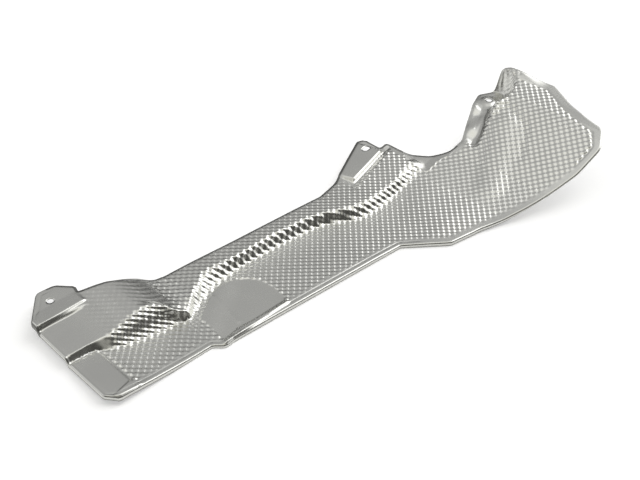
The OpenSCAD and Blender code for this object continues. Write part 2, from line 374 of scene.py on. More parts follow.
@dataclass(frozen=True)
class SheetForm:
    """Height of the sheet and share of the embossing, from named lines and seats.

    Names that end in _z are heights above the floor, those in _h added heights and those in _w
    widths. Those in _x or _y are places along or across the strip where a change starts and ends,
    and a _wall is the same as distances from a boundary. A line gives a value for places along the
    strip. An outline is a closed line in plan.
    """

    outline: Outline = Outline()
    strip_z: float = 1.9
    end_rise: float = 5.5
    end_rise_x: float = -225.0
    near_rise: float = 3.6
    near_rise_w: float = 90.0
    near_rise_x: Place = (120, 200)
    far_slope: float = -0.05
    far_slope_x: Span = (-235, -190, 40, 120)
    step_end_h: float = 5.5
    step_scoop_h: float = 19.0
    step_mid_h: float = 12.0
    foot_line: Line = ((-351, 6), (-318, 7.5), (-306, 0), (-290, -5), (-255, -8), (-219, -10), (-206, -17),
                       (-187, -2), (-170, 7), (-159, 11), (-142, 17), (-108, 22), (-59, 24), (-6, 23),
                       (13, 21), (29, 17), (46, 8), (60, 1), (77, -2), (92, -1), (110, 1), (128, 5),
                       (146, 9), (167, 13), (185, 16), (240, 15))
    crest_line: Line = ((-351, 12), (-307, 12), (-294, 9), (-265, 11), (-239, 12), (-229, 7), (-221, -1),
                        (-215, -10), (-207, -12), (-195, 0), (-180, 10), (-159, 25), (-146, 28), (-103, 28),
                        (-52, 31.5), (2, 30), (18, 26.5), (33, 22.5), (50, 15), (64, 10), (83, 7),
                        (105, 9.5), (130, 12.5), (148, 15.5), (170, 25), (185, 28), (240, 27))
    crest_gap: float = 5.0
    soft_line: Line = ((-300, 0.13), (-285, 0.3), (-205, 0.35), (-185, 0.5))
    scoop_end_line: Line = ((-252, 0), (-239, -2.2), (-229, -2.6), (-221, -1), (-215, 0.8), (-207, 1.8),
                            (-199, 0.6), (-190, 0))
    scoop_end_w: float = 14.0
    dish_h: float = 75.0
    dish_turn: float = 0.12
    rise_line: Line = ((90, 0), (130, 0.01), (180, 0.09), (240, 0.29), (300, 0.62), (350, 0.91), (400, 0.98))
    ridge: tuple[Place, Place] = ((305, -20), (222, -76))
    ridge_h: float = 1.8
    ridge_w: Place = (4, 26)
    folds: tuple[tuple[Place, Place], ...] = (((331, -6), (321, -47)), ((321, -47), (281, -74)))
    fold_h: float = 0.8
    fold_w: float = 9.0
    flap_h: float = 7.5
    flap_x: Place = (365, 392)
    flap_y: Place = (-20, 40)
    arm_line: Line = ((242, 26), (324, 47))
    arm_x: Span = (244, 262, 316, 332)
    arm_wall: Place = (-8, 6)
    arm_at: float = 285.0
    arm_slant: float = 0.45
    arm_tilt: float = 0.24
    arm_tilt_w: float = 14.0
    hump: tuple[Place, Place] = ((285, 12), (330, 16))
    hump_h: float = 3.6
    hump_w: float = 17.0
    right_ramp_x: Span = (256, 269, 318, 330)
    right_ramp_wall: Place = (-8, 1)
    seat_left_z: float = 17.5
    seat_left_at: Place = (-285, 65.5)
    seat_left_wall: Place = (3, 3.4)
    seat_left_soft: float = 0.4
    seat_mid_z: float = 14.0
    seat_mid_tilt: float = 0.1
    seat_mid_axis: float = 19.0
    seat_mid_wall: Place = (-13, -3)
    seat_mid_x: Span = (84, 100, 184, 192)
    seat_right_z: float = 50.0
    seat_right: Place = (343, 38)
    seat_right_r: float = 19.0
    seat_right_wall: float = 12.0
    seat_right_long: float = 1.25
    seat_right_fade: int = 6
    dome: Place = (339, 35)
    dome_h: float = 2.0
    dome_wall: Place = (6, 15)
    pad_h: float = 0.6
    pad_tilt: float = 0.045
    pad_axis: float = -331.0
    pad_x: Place = (-312, -309)
    pad_near: Place = (5, 8)
    pad_far: Place = (-5, -1)
    pad_rim: tuple[Place, Place] = ((-345, -70), (-309, -56))
    pad_rim_h: float = 0.8
    pad_rim_w: float = 1.6
    pad_rim_x: Place = (-309, -305)
    label_outline: Line = ((-197, -22), (-180, -8), (-161, 4), (-143, 10), (-129, 8), (-113, -1), (-104, -16),
                           (-101, -37), (-104, -57), (-111, -67), (-122, -67), (-174, -64), (-184, -66),
                           (-199, -70))
    label_wall: Place = (-1.2, 1.8)
    label_depth: float = 0.9
    label_lift: float = 1.7
    label_lift_at: Place = (-150, -30)
    label_lift_way: Place = (-0.6, 0.8)
    label_lift_w: Place = (2, 28)
    hollow_outline: Line = ((199, 65), (183, 37), (186, 29), (189, 19), (191, 6), (203, 7), (215, 9),
                            (230, 4), (247, 7), (255, 22), (233, 42))
    flange_tilt: float = 0.22
    flange_w: float = 12.0
    flange_step_h: float = 0.5
    flange_step_w: float = 1.2
    mid_bead: Bead = Bead((106, 54), (175, 78.5), width=7.0, height=4.0, wall=4.4, fall=38.0)
    left_bead: Bead = Bead((-352, 65.5), (-288, 71.0), width=0.2, height=1.9, wall=3.4, fall=20.0)
    label_bead: Bead = Bead((-199, -75), (-110, -69), width=4.0, height=1.9, wall=3.2, fall=7.0)
    creases: tuple[Crease, ...] = (
        Crease(((-164, -3), (-165, -20), (-167, -41), (-169, -55)), 5.0, 0.45),
        Crease(((-207, 57), (-209, 43), (-212, 22)), 4.0, -0.8),
        Crease(((-311.5, 3), (-310.5, -57)), 4.6, -0.8))
    strip_groove: Groove = Groove(inset=6.8, width=1.1, depth=0.45)
    strip_groove_x: Place = (75, 105)
    left_groove_shift: float = 3.0
    left_groove_w: Place = (8, 20)
    dish_groove: Groove = Groove(inset=10.5, width=1.6, depth=0.7)
    dish_groove_x: Place = (300, 330)
    roll_w: float = 4.4
    roll_slope: float = 0.27
    slide_share: float = 0.7
    scoop_slide_z: float = 6.0
    scoop_slide_x: Span = (-330, -300, -232, -208)
    flap_slide_z: float = 60.0
    flap_slide_x: Place = (340, 352)
    flap_slide_y: Place = (20, 32)
    rim_w: float = 10.0
    rim_wall: Place = (-1, 2)
    rim_plain_w: float = 3.0
    rim_extra_w: float = 4.5
    rim_extra_x: Place = (325, 375)
    rim_near_y: float = -30.0
    rim_end: Place = (330, 22)
    rim_hollow_x: Place = (180, 262)
    fading_x: Place = (-306, -286)
    fading_y: Place = (-4, 2)
    stretch: float = 0.65
    stretch_x: Place = (-226, -190)
    stretch_y: Place = (-2, 8)

    def step_line(self) -> Line:
        """Height of the step along the strip."""
        end, scoop, mid = self.step_end_h, self.step_scoop_h, self.step_mid_h
        return ((self.outline.left_x, end), (-307, end + 2.7), (-280, scoop - 5), (-265, scoop),
                (-249, scoop + 3), (-239, scoop + 3), (-229, scoop + 1), (-221, scoop - 3), (-215, mid),
                (-207, mid - 3), (-195, mid), (60, mid), (110, mid - 1), (150, mid - 2), (175, mid - 4),
                (190, mid - 7), (205, 0))

    def foot(self, x: Array) -> Array:
        """Place of the step's foot across the strip."""
        return along(x, self.foot_line, 4)

    def crest(self, x: Array) -> Array:
        """Place of the step's crest across the strip."""
        return np.maximum(along(x, self.crest_line, 4), self.foot(x) + self.crest_gap)

    def in_left_seat(self, x: Array, y: Array) -> Array:
        """Share of the left seat at a point."""
        (ax, ay), (across, deep), soft = self.seat_left_at, self.seat_left_wall, self.seat_left_soft
        return (1 - bend((x - ax) / across, soft)) * bend((y - ay) / deep, soft)

    def in_pad(self, x: Array, y: Array) -> Array:
        """Share of the smooth pad at the near left corner."""
        return ((1 - ramp(*self.pad_x, x)) * ramp(*self.pad_near, y - self.outline.near_y)
                * (1 - ramp(*self.pad_far, y - self.foot(x))))

    def past_pad_rim(self, x: Array, y: Array) -> Array:
        """Distance beyond the pad's near boundary, measured across the strip."""
        (ax, ay), (bx, by) = self.pad_rim
        return ((bx - ax) * (y - ay) - (by - ay) * (x - ax)) / math.hypot(bx - ax, by - ay)

    def in_label(self, x: Array, y: Array) -> Array:
        """Share of the smooth field in the middle of the strip."""
        return ramp(*self.label_wall, nearest_on(np.array(self.label_outline), x, y)[0])

    def label_depth_at(self, x: Array, y: Array) -> Array:
        """Depth of the smooth field: sunk on its near side, a little raised on its far left one."""
        (ax, ay), (wx, wy) = self.label_lift_at, self.label_lift_way
        lifted = ramp(*self.label_lift_w, wy * (y - ay) + wx * (x - ax))
        return self.label_depth - self.label_lift * lifted

    def in_mid_seat(self, x: Array, y: Array) -> Array:
        """Share of the middle seat at a point."""
        return ramp(*self.seat_mid_wall, self.mid_bead.above(x, y)) * plateau(x, *self.seat_mid_x)

    def in_right_seat(self, x: Array, y: Array) -> Array:
        """Share of the right seat at a point."""
        d = np.hypot((x - self.seat_right[0]) / self.seat_right_long, y - self.seat_right[1])
        return 1 - ramp(self.seat_right_r, self.seat_right_r + self.seat_right_wall, d)

    def past_arm(self, x: Array, y: Array) -> Array:
        """Distance beyond the arm's near boundary, measured along Y."""
        return y - self.arm_slant * (x - self.arm_at)

    def in_arm(self, x: Array, y: Array) -> Array:
        """Share of the arm that carries the right seat, along the far edge."""
        return plateau(x, *self.arm_x) * ramp(*self.arm_wall, self.past_arm(x, y))

    def on_right_ramp(self, x: Array, y: Array) -> Array:
        """Share of the smooth wall that leads up to the right seat."""
        return plateau(x, *self.right_ramp_x) * ramp(*self.right_ramp_wall, self.past_arm(x, y))

    def in_hollow(self, x: Array, y: Array) -> Array:
        """Distance inside the smooth flange of the concave far edge, negative outside it."""
        return nearest_on(np.array(self.hollow_outline), x, y)[0]

    def height(self, x: Array, y: Array) -> Array:
        """Height of the sheet's top before embossing.

        Args:
            x: the points' X.
            y: the points' Y.

        Returns:
            Heights above the floor.
        """
        foot, crest = self.foot(x), self.crest(x)
        z = self.strip_z + self.end_rise * (1 - ramp(self.outline.left_x, self.end_rise_x, x))
        near = np.clip((foot - y) / self.near_rise_w, 0, 1)
        z = z + self.near_rise * near * (1 - ramp(*self.near_rise_x, x))
        z = z + along(x, self.step_line(), 6) * bend((y - foot) / (crest - foot), along(x, self.soft_line, 5))
        z = z + self.far_slope * np.maximum(0, y - crest) * plateau(x, *self.far_slope_x)
        z = z + along(x, self.scoop_end_line, 3) * ramp(0, self.scoop_end_w, y - crest)
        z = z + self.dish_h * along(x + self.dish_turn * y, self.rise_line, 15)
        z = z + self.ridge_h * (1 - ramp(*self.ridge_w, segment_distance(x, y, *self.ridge)))
        z = z + self.flap_h * ramp(*self.flap_x, x) * ramp(*self.flap_y, y)
        near_fold = np.minimum.reduce([segment_distance(x, y, *fold) for fold in self.folds])
        z = z - self.fold_h * (1 - ramp(0, self.fold_w, near_fold))
        z = z + (along(x, self.arm_line, 1) - z) * self.in_arm(x, y)
        z = z + self.hump_h * (1 - ramp(0, self.hump_w, segment_distance(x, y, *self.hump)))
        z = z + (self.pad_h - self.pad_tilt * (x - self.pad_axis)) * self.in_pad(x, y)
        z = z - self.label_depth_at(x, y) * self.in_label(x, y)
        mid_level = self.seat_mid_z + self.seat_mid_tilt * (self.mid_bead.above(x, y) - self.seat_mid_axis)
        for share, level in ((self.in_left_seat(x, y), self.seat_left_z),
                             (self.in_mid_seat(x, y), mid_level),
                             (self.in_right_seat(x, y), self.seat_right_z)):
            z = z + (level - z) * share
        return z + self.mid_bead.rise(x, y)

    def rim_extra(self, x: Array) -> Array:
        """How much wider the smooth rim is at the dish's end."""
        return self.rim_extra_w * ramp(*self.rim_extra_x, x)

    def slide(self, x: Array, y: Array, z: Array) -> Array:
        """How far the rows of bumps are shifted, so that they follow the walls of scoop and flap.

        Args:
            x: the points' X.
            y: the points' Y.
            z: the points' heights.

        Returns:
            Distances along the rows' second direction.
        """
        scoop = self.slide_share * (z - self.scoop_slide_z) * plateau(x, *self.scoop_slide_x)
        flap = self.slide_share * (z - self.flap_slide_z) * ramp(*self.flap_slide_x, x)
        return scoop + flap * ramp(*self.flap_slide_y, y)

    def detail(self, x: Array, y: Array, edge: Array, lip: Array) -> Array:
        """Fine creases, grooves and rims, added to the height.

        Args:
            x: the points' X.
            y: the points' Y.
            edge: distance to the outline.
            lip: share of the turned-down edge at the outline's nearest point.

        Returns:
            Heights to add.
        """
        z = self.label_bead.rise(x, y) + self.left_bead.rise(x, y)
        from_dome = np.hypot(x - self.dome[0], y - self.dome[1])
        z = z - self.dome_h * self.in_right_seat(x, y) * ramp(*self.dome_wall, from_dome)
        z = z - self.arm_tilt * np.minimum(edge, self.arm_tilt_w) * self.on_right_ramp(x, y) * (1 - lip)
        for crease in self.creases:
            z = z + crease.rise(x, y)
        at_left = 1 - ramp(*self.left_groove_w, x - self.outline.left_x)
        at = self.strip_groove.inset - self.left_groove_shift * at_left
        z = z - self.strip_groove.sink(edge - at) * (lip * (1 - ramp(*self.strip_groove_x, x)))
        off = edge - self.dish_groove.inset - self.rim_extra(x)
        z = z - self.dish_groove.sink(off) * (lip * ramp(*self.dish_groove_x, x))
        rim_band = 1 - ramp(-self.pad_rim_w, self.pad_rim_w, self.past_pad_rim(x, y))
        z = z + self.pad_rim_h * (rim_band * (1 - ramp(*self.pad_rim_x, x)))
        z = z - self.roll_slope * np.maximum(0, self.roll_w - edge) * (1 - lip)
        hollow = self.in_hollow(x, y)
        flange = self.flange_step_h * ramp(-self.flange_step_w, self.flange_step_w, hollow)
        return z + (1 - lip) * (flange - self.flange_tilt * np.clip(hollow, 0, self.flange_w))

    def emboss_share(self, x: Array, y: Array, edge: Array) -> Array:
        """Share of the embossing: none on seats, smooth fields and the rim.

        Args:
            x: the points' X.
            y: the points' Y.
            edge: distance to the outline.

        Returns:
            Shares between 0 and 1.
        """
        wide = ((y < self.rim_near_y) | ((x > self.rim_end[0]) & (y < self.rim_end[1]))
                | ((x > self.rim_hollow_x[0]) & (x < self.rim_hollow_x[1])))
        rim = np.where(wide, self.rim_w + self.rim_extra(x), self.rim_plain_w)
        fading = (1 - ramp(*self.fading_x, x)) * ramp(*self.fading_y, y - self.foot(x))
        smooth = np.maximum.reduce([
            self.in_left_seat(x, y), self.in_pad(x, y), self.in_label(x, y), self.in_mid_seat(x, y),
            self.in_right_seat(x, y) ** self.seat_right_fade, self.on_right_ramp(x, y), fading,
            ramp(*self.rim_wall, self.in_hollow(x, y))])
        stretched = (1 - ramp(*self.stretch_x, x)) * ramp(*self.stretch_y, y - self.crest(x))
        return (1 - smooth) * (1 - self.stretch * stretched) * ramp(*self.rim_wall, edge - rim)


@dataclass
class NodeBuilder:
    """Small helper that adds and links nodes in one tree."""

    tree: bpy.types.NodeTree

    @classmethod
    def emptied(cls, owner: bpy.types.Material | bpy.types.World) -> "NodeBuilder":
        """A builder for a material's or world's own tree, with nothing left in it."""
        owner.use_nodes = True
        owner.node_tree.nodes.clear()
        return cls(owner.node_tree)

    def sockets(self, way: str, **kinds: str) -> None:
        """Adds sockets to a group.

        Args:
            way: INPUT or OUTPUT.
            **kinds: the kind of socket for each name.
        """
        for name, kind in kinds.items():
            self.tree.interface.new_socket(name, in_out=way, socket_type="NodeSocket" + kind)

    def add(self, kind: str, feeds: dict[str | int, object] | None = None,
            **settings: object) -> bpy.types.Node:
        """Adds a node, sets its properties and feeds its inputs.

        Args:
            kind: the node's type name.
            feeds: a socket to link or a value to set, for each input's name or number.
            **settings: properties by name.

        Returns:
            The new node.
        """
        node = self.tree.nodes.new(kind)
        for name, value in settings.items():
            setattr(node, name, value)
        for name, value in (feeds or {}).items():
            if isinstance(value, Socket):
                self.tree.links.new(value, node.inputs[name])
            else:
                node.inputs[name].default_value = value
        return node

    def math(self, operation: str, *values: object) -> Socket:
        """A Math node's output.

        Args:
            operation: the node's operation.
            *values: sockets or plain numbers, in order.

        Returns:
            The result.
        """
        return self.add("ShaderNodeMath", dict(enumerate(values)), operation=operation).outputs[0]


@dataclass(frozen=True)
class Embossing:
    """Rows of bumps pressed into the sheet, made by a Geometry Nodes tree."""

    pitch: float = 6.75
    height: float = 0.75
    angle: float = -41.0

    def tree(self, material: bpy.types.Material) -> bpy.types.NodeTree:
        """Builds the tree.

        The rows follow each point's place plus its "slide", and the bumps are scaled by its "emboss".

        Args:
            material: the sheet's face material, set on the whole surface.

        Returns:
            The node tree, with inputs Pitch, Height and Turn.
        """
        b = NodeBuilder(bpy.data.node_groups.new("embossing", "GeometryNodeTree"))
        b.sockets("INPUT", Geometry="Geometry", Pitch="Float", Height="Float", Turn="Float")
        b.sockets("OUTPUT", Geometry="Geometry")
        given = b.add("NodeGroupInput")
        spot = b.add("GeometryNodeInputPosition")
        slid = b.add("GeometryNodeInputNamedAttribute", {"Name": "slide"}, data_type="FLOAT_VECTOR")
        place = b.add("ShaderNodeVectorMath", {0: spot.outputs[0], 1: slid.outputs[0]}, operation="ADD")
        turn = b.add("ShaderNodeVectorRotate", {"Vector": place.outputs[0], "Angle": given.outputs["Turn"]},
                     rotation_type="Z_AXIS")
        apart = b.add("ShaderNodeSeparateXYZ", {0: turn.outputs[0]})
        per_metre = b.math("DIVIDE", 2 * math.pi, given.outputs["Pitch"])
        waves = [b.math("COSINE", b.math("MULTIPLY", apart.outputs[k], per_metre)) for k in (0, 1)]
        both = b.math("MULTIPLY", b.math("ADD", *waves), 0.5)
        share = b.add("GeometryNodeInputNamedAttribute", {"Name": "emboss"}, data_type="FLOAT")
        lift = b.math("MULTIPLY", b.math("MULTIPLY", both, given.outputs["Height"]), share.outputs[0])
        normal = b.add("GeometryNodeInputNormal")
        scaled = b.add("ShaderNodeVectorMath", {0: normal.outputs[0], "Scale": lift}, operation="SCALE")
        move = b.add("GeometryNodeSetPosition", {"Geometry": given.outputs["Geometry"],
                                                 "Offset": scaled.outputs[0]})
        real = b.add("GeometryNodeRealizeInstances", {0: move.outputs[0]})
        dress = b.add("GeometryNodeSetMaterial", {"Geometry": real.outputs[0], "Material": material})
        b.add("NodeGroupOutput", {"Geometry": dress.outputs[0]})
        return b.tree

    def press(self, piece: bpy.types.Object, material: bpy.types.Material) -> None:
        """Adds the embossing to a piece as a modifier, with its inputs set."""
        made = piece.modifiers.new("embossing", "NODES")
        made.node_group = self.tree(material)
        values = {"Pitch": self.pitch * MM, "Height": self.height * MM, "Turn": -math.radians(self.angle)}
        for item in made.node_group.interface.items_tree:
            if item.in_out == "INPUT" and item.name in values:
                made[item.identifier] = values[item.name]


@dataclass(frozen=True)
class MetalWear:
    """Rolling grain, soft stains and fine dust, shared by the sheet's finishes."""

    grain_scale: Triple = (60.0, 2200.0, 600.0)
    stain_scale: float = 22.0
    dust_scale: float = 420.0
    stain_rough: float = 0.12
    dust_rough: float = 0.08
    bump_strength: float = 0.35
    bump_depth: float = 0.0002

    def group(self) -> bpy.types.NodeTree:
        """Builds the shader group.

        Returns:
            A group that turns a place into a stained colour, a roughness and a grained normal.
        """
        b = NodeBuilder(bpy.data.node_groups.new("rolled_metal_wear", "ShaderNodeTree"))
        b.sockets("INPUT", Place="Vector", Colour="Color", Roughness="Float", Grain="Float", Stain="Float")
        b.sockets("OUTPUT", Colour="Color", Roughness="Float", Normal="Vector")
        given = b.add("NodeGroupInput")
        place = given.outputs["Place"]
        drawn = b.add("ShaderNodeMapping", {"Vector": place, "Scale": self.grain_scale})
        grain = b.add("ShaderNodeTexNoise", {"Vector": drawn.outputs[0], "Scale": 1.0, "Detail": 3.0})
        cloud = b.add("ShaderNodeTexNoise", {"Vector": place, "Scale": self.stain_scale, "Detail": 5.0})
        dust = b.add("ShaderNodeTexNoise", {"Vector": place, "Scale": self.dust_scale, "Detail": 2.0})
        stain = b.math("SUBTRACT", cloud.outputs["Fac"], 0.5)
        shade = b.math("ADD", 1.0, b.math("MULTIPLY", stain, given.outputs["Stain"]))
        tinted = b.add("ShaderNodeVectorMath", {0: given.outputs["Colour"], "Scale": shade},
                       operation="SCALE")
        rough = b.math("ADD", given.outputs["Roughness"], b.math("MULTIPLY", stain, self.stain_rough))
        dusty = b.math("MULTIPLY", b.math("SUBTRACT", dust.outputs["Fac"], 0.5), self.dust_rough)
        bump = b.add("ShaderNodeBump", {
            "Strength": self.bump_strength, "Distance": self.bump_depth,
            "Height": b.math("MULTIPLY", grain.outputs["Fac"], given.outputs["Grain"])})
        b.add("NodeGroupOutput", {"Colour": tinted.outputs[0], "Roughness": b.math("ADD", rough, dusty),
                                  "Normal": bump.outputs[0]})
        return b.tree


@dataclass(frozen=True)
class SheetMetal:
    """Finish of the aluminium: its colour and roughness, and how much grain and stain it has."""

    name: str
    colour: Triple
    roughness: float
    grain: float
    stain: float

    def material(self, wear_group: bpy.types.NodeTree) -> bpy.types.Material:
        """Builds the material.

        Args:
            wear_group: the shared shader group that gives grain and stains.

        Returns:
            The material.
        """
        made = bpy.data.materials.new(self.name)
        b = NodeBuilder.emptied(made)
        place = b.add("ShaderNodeTexCoord")
        wear = b.add("ShaderNodeGroup", {
            "Place": place.outputs["Object"], "Colour": (*self.colour, 1.0), "Roughness": self.roughness,
            "Grain": self.grain, "Stain": self.stain}, node_tree=wear_group)
        shader = b.add("ShaderNodeBsdfPrincipled", {
            "Metallic": 1.0, "Base Color": wear.outputs["Colour"], "Roughness": wear.outputs["Roughness"],
            "Normal": wear.outputs["Normal"]})
        b.add("ShaderNodeOutputMaterial", {"Surface": shader.outputs[0]})
        return made


@dataclass
class CellNet:
    """Net of square cells along the embossing, some of them split or merged.

    Places on the net are whole steps of half a cell, so that a cell spans two steps. Cells that
    bend less than least_bend, in millimetres, are never split.
    """

    middle: Array
    step: float
    angle: float
    low: Array
    kept: Array
    least_bend: float = 0.004

    def place(self, p: Array, q: Array) -> tuple[Array, Array]:
        """Drawing-frame X and Y of the steps p and q."""
        u, v = (p + 2 * self.low[0]) * self.step, (q + 2 * self.low[1]) * self.step
        return (u * math.cos(self.angle) - v * math.sin(self.angle) + self.middle[0],
                u * math.sin(self.angle) + v * math.cos(self.angle) + self.middle[1])

    @property
    def stride(self) -> int:
        """Number of steps in a row, by which a step pair becomes one number."""
        return 2 * self.kept.shape[1] + 1

    def split_step(self, number: Array) -> tuple[Array, Array]:
        """The step pair behind each number."""
        return number // self.stride, number % self.stride

    def steps(self) -> Array:
        """Numbers of all steps that the kept cells touch, in order."""
        i, j = np.nonzero(self.kept)
        return np.unique([(2 * i + a) * self.stride + 2 * j + b for a in range(3) for b in range(3)])

    def split_cells(self, steps: Array, z: Array, limit: int) -> Array:
        """Which cells are split in four: those in which the sheet bends most.

        Args:
            steps: numbers of the steps.
            z: the sheet's height at each.
            limit: the number of cells to split at most.

        Returns:
            A mask over the cells.
        """
        i, j = np.nonzero(self.kept)
        at = {(a, b): z[np.searchsorted(steps, (2 * i + a) * self.stride + 2 * j + b)]
              for a in range(3) for b in range(3)}
        off = [at[1, 0] - (at[0, 0] + at[2, 0]) / 2, at[1, 2] - (at[0, 2] + at[2, 2]) / 2,
               at[0, 1] - (at[0, 0] + at[0, 2]) / 2, at[2, 1] - (at[2, 0] + at[2, 2]) / 2,
               at[1, 1] - (at[1, 0] + at[1, 2]) / 2]
        bend_size = np.zeros(self.kept.shape)
        bend_size[i, j] = np.abs(off).max(0)
        bend_size[~self.inner()] = 0.0
        least = np.sort(bend_size.ravel())[-limit]
        return bend_size > max(least, self.least_bend)

    def inner(self) -> Array:
        """Which cells have kept cells all round them."""
        k = np.pad(self.kept, 1)
        rows, cols = self.kept.shape
        return np.logical_and.reduce([k[1 + a:1 + a + rows, 1 + b:1 + b + cols]
                                      for a in (-1, 0, 1) for b in (-1, 0, 1)])

    def leaves(self, split: Array, merge: bool) -> list[tuple[int, int, int]]:
        """The squares that make up one side of the sheet.

        Args:
            split: mask of the cells that the top has split.
            merge: whether flat blocks of two by two cells become one square, as on the underside.

        Returns:
            Squares as (first step, first step across, steps wide).
        """
        i, j = np.nonzero(self.kept)
        if not merge:
            whole = [(2 * int(a), 2 * int(b), 2) for a, b in zip(i, j) if not split[a, b]]
            parts = [(2 * int(a) + c, 2 * int(b) + d, 1) for a, b in zip(i, j) if split[a, b]
                     for c in (0, 1) for d in (0, 1)]
            return whole + parts
        inner = self.inner()
        made = []
        for a, b in zip(i.tolist(), j.tolist()):
            first = (a - a % 2, b - b % 2)
            block = np.s_[first[0]:first[0] + 2, first[1]:first[1] + 2]
            if not (inner[block].all() and inner[block].size == 4):
                made.append((2 * a, 2 * b, 2))
            elif (a, b) == first:
                made.append((2 * a, 2 * b, 4))
        return made

    def faces(self, leaves: list[tuple[int, int, int]]) -> list[list[int]]:
        """Faces of the squares, with a point wherever a neighbour has a corner.

        Args:
            leaves: the squares.

        Returns:
            Faces, as numbers of their steps.
        """
        stride = self.stride
        corners = {(p + a * w) * stride + q + b * w for p, q, w in leaves for a in (0, 1) for b in (0, 1)}
        made = []
        for p, q, w in leaves:
            ring = ([(p + k) * stride + q for k in range(w)] + [(p + w) * stride + q + k for k in range(w)]
                    + [(p + w - k) * stride + q + w for k in range(w)]
                    + [p * stride + q + w - k for k in range(w)])
            made.append([number for number in ring if number in corners])
        return made


@dataclass
class SheetDraft:
    """The sheet before its thickness: the top's points, and the faces of both sides.

    One list holds the top's faces along the far edge and the tab's edge that take the dark
    cut-edge finish, as painted shade: a dark line along those edges. Level holds pairs of point
    numbers: the first ones take the normals of the second ones, so that a plain edge stays even.
    """

    points: list[Array]
    shares: list[Array]
    top: list[list[int]]
    under: list[list[int]]
    cut_loops: list[tuple[list[int], list[int]]] = field(default_factory=list)
    painted_dark_faces: list[int] = field(default_factory=list)
    level: list[tuple[Array, Array]] = field(default_factory=list)

    def loops(self) -> list[list[int]]:
        """Chains the top's open edges into loops, each walked with the metal on its left."""
        there = {(a, b) for face in self.top for a, b in zip(face, face[1:] + face[:1])}
        onward: dict[int, list[int]] = {}
        for a, b in sorted(there):
            if (b, a) not in there:
                onward.setdefault(a, []).append(b)
        loops = []
        while onward:
            start = min(onward)
            loop = [start]
            while True:
                ahead = onward[loop[-1]]
                step = ahead.pop()
                if not ahead:
                    del onward[loop[-1]]
                if step == start:
                    break
                loop.append(step)
            loops.append(loop)
        return sorted(loops, key=len, reverse=True)

    @staticmethod
    def band(inner: Array, outer: Array) -> list[list[int]]:
        """Faces between two rings of the border."""
        count = len(inner)
        return [[int(inner[(k + 1) % count]), int(inner[k]), int(outer[k]), int(outer[(k + 1) % count])]
                for k in range(count)]


